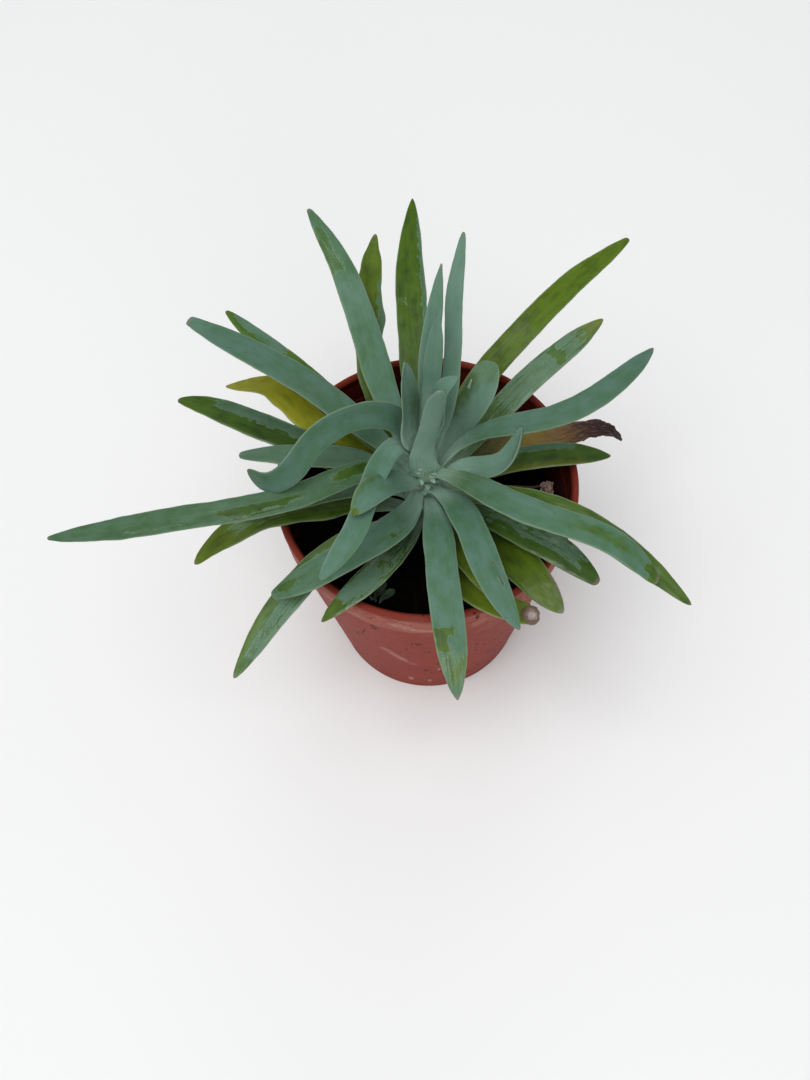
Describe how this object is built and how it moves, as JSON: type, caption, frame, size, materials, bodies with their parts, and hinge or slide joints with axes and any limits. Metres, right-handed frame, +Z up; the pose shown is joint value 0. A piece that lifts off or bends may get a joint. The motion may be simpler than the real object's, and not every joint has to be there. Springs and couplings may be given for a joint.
{
  "type": "potted senecio",
  "caption": "Potted succulent: long fleshy blue-green leaves round one short stem, in soil in a tapered round plastic pot.",
  "frame": {"origin": "centre of the pot's base, on the surface that it stands on", "axes": "+Z up along the pot's axis, -Y towards the picture's viewer, +X to the viewer's right"},
  "size_m": [0.2159, 0.1907, 0.1863],
  "materials": {
    "pot": "matte",
    "soil": "matte",
    "stem": "matte",
    "leaf_green": "satin",
    "leaf_blue": "satin",
    "leaf_yellow": "satin",
    "leaf_withered": "matte",
    "crown": "satin",
    "seedling": "satin",
    "crumb": "matte"
  },
  "bodies": {
    "root": {"pot": "pot", "soil": "soil", "stem": "stem", "leaf_back_tall": "leaf_green", "leaf_back_low": "leaf_green", "leaf_back_left": "leaf_blue", "leaf_rear_left_low": "leaf_green", "leaf_rear_left": "leaf_blue", "leaf_yellow": "leaf_yellow", "leaf_left_wet": "leaf_green", "leaf_left_short": "leaf_green", "leaf_arched": "leaf_blue", "leaf_longest": "leaf_blue", "leaf_under_longest": "leaf_green", "leaf_left_low": "leaf_green", "leaf_front_left": "leaf_blue", "leaf_front_left_low": "leaf_green", "leaf_drooping": "leaf_blue", "leaf_short_bent": "leaf_blue", "leaf_front_left_small": "leaf_green", "leaf_front": "leaf_blue", "leaf_front_right": "leaf_blue", "leaf_front_right_low": "leaf_green", "leaf_callus_tip": "leaf_green", "leaf_right_broad": "leaf_green", "leaf_right_wet": "leaf_green", "leaf_right_long": "leaf_blue", "leaf_right_long_low": "leaf_green", "leaf_right_green": "leaf_green", "leaf_withered": "leaf_withered", "leaf_cupped": "leaf_blue", "leaf_rear_right": "leaf_blue", "leaf_spoon": "leaf_blue", "leaf_back_right_long": "leaf_green", "leaf_back_right": "leaf_green", "leaf_crown_right": "leaf_blue", "crown": "crown", "seedling": "seedling", "crumb": "crumb"}
  },
  "joints": []
}
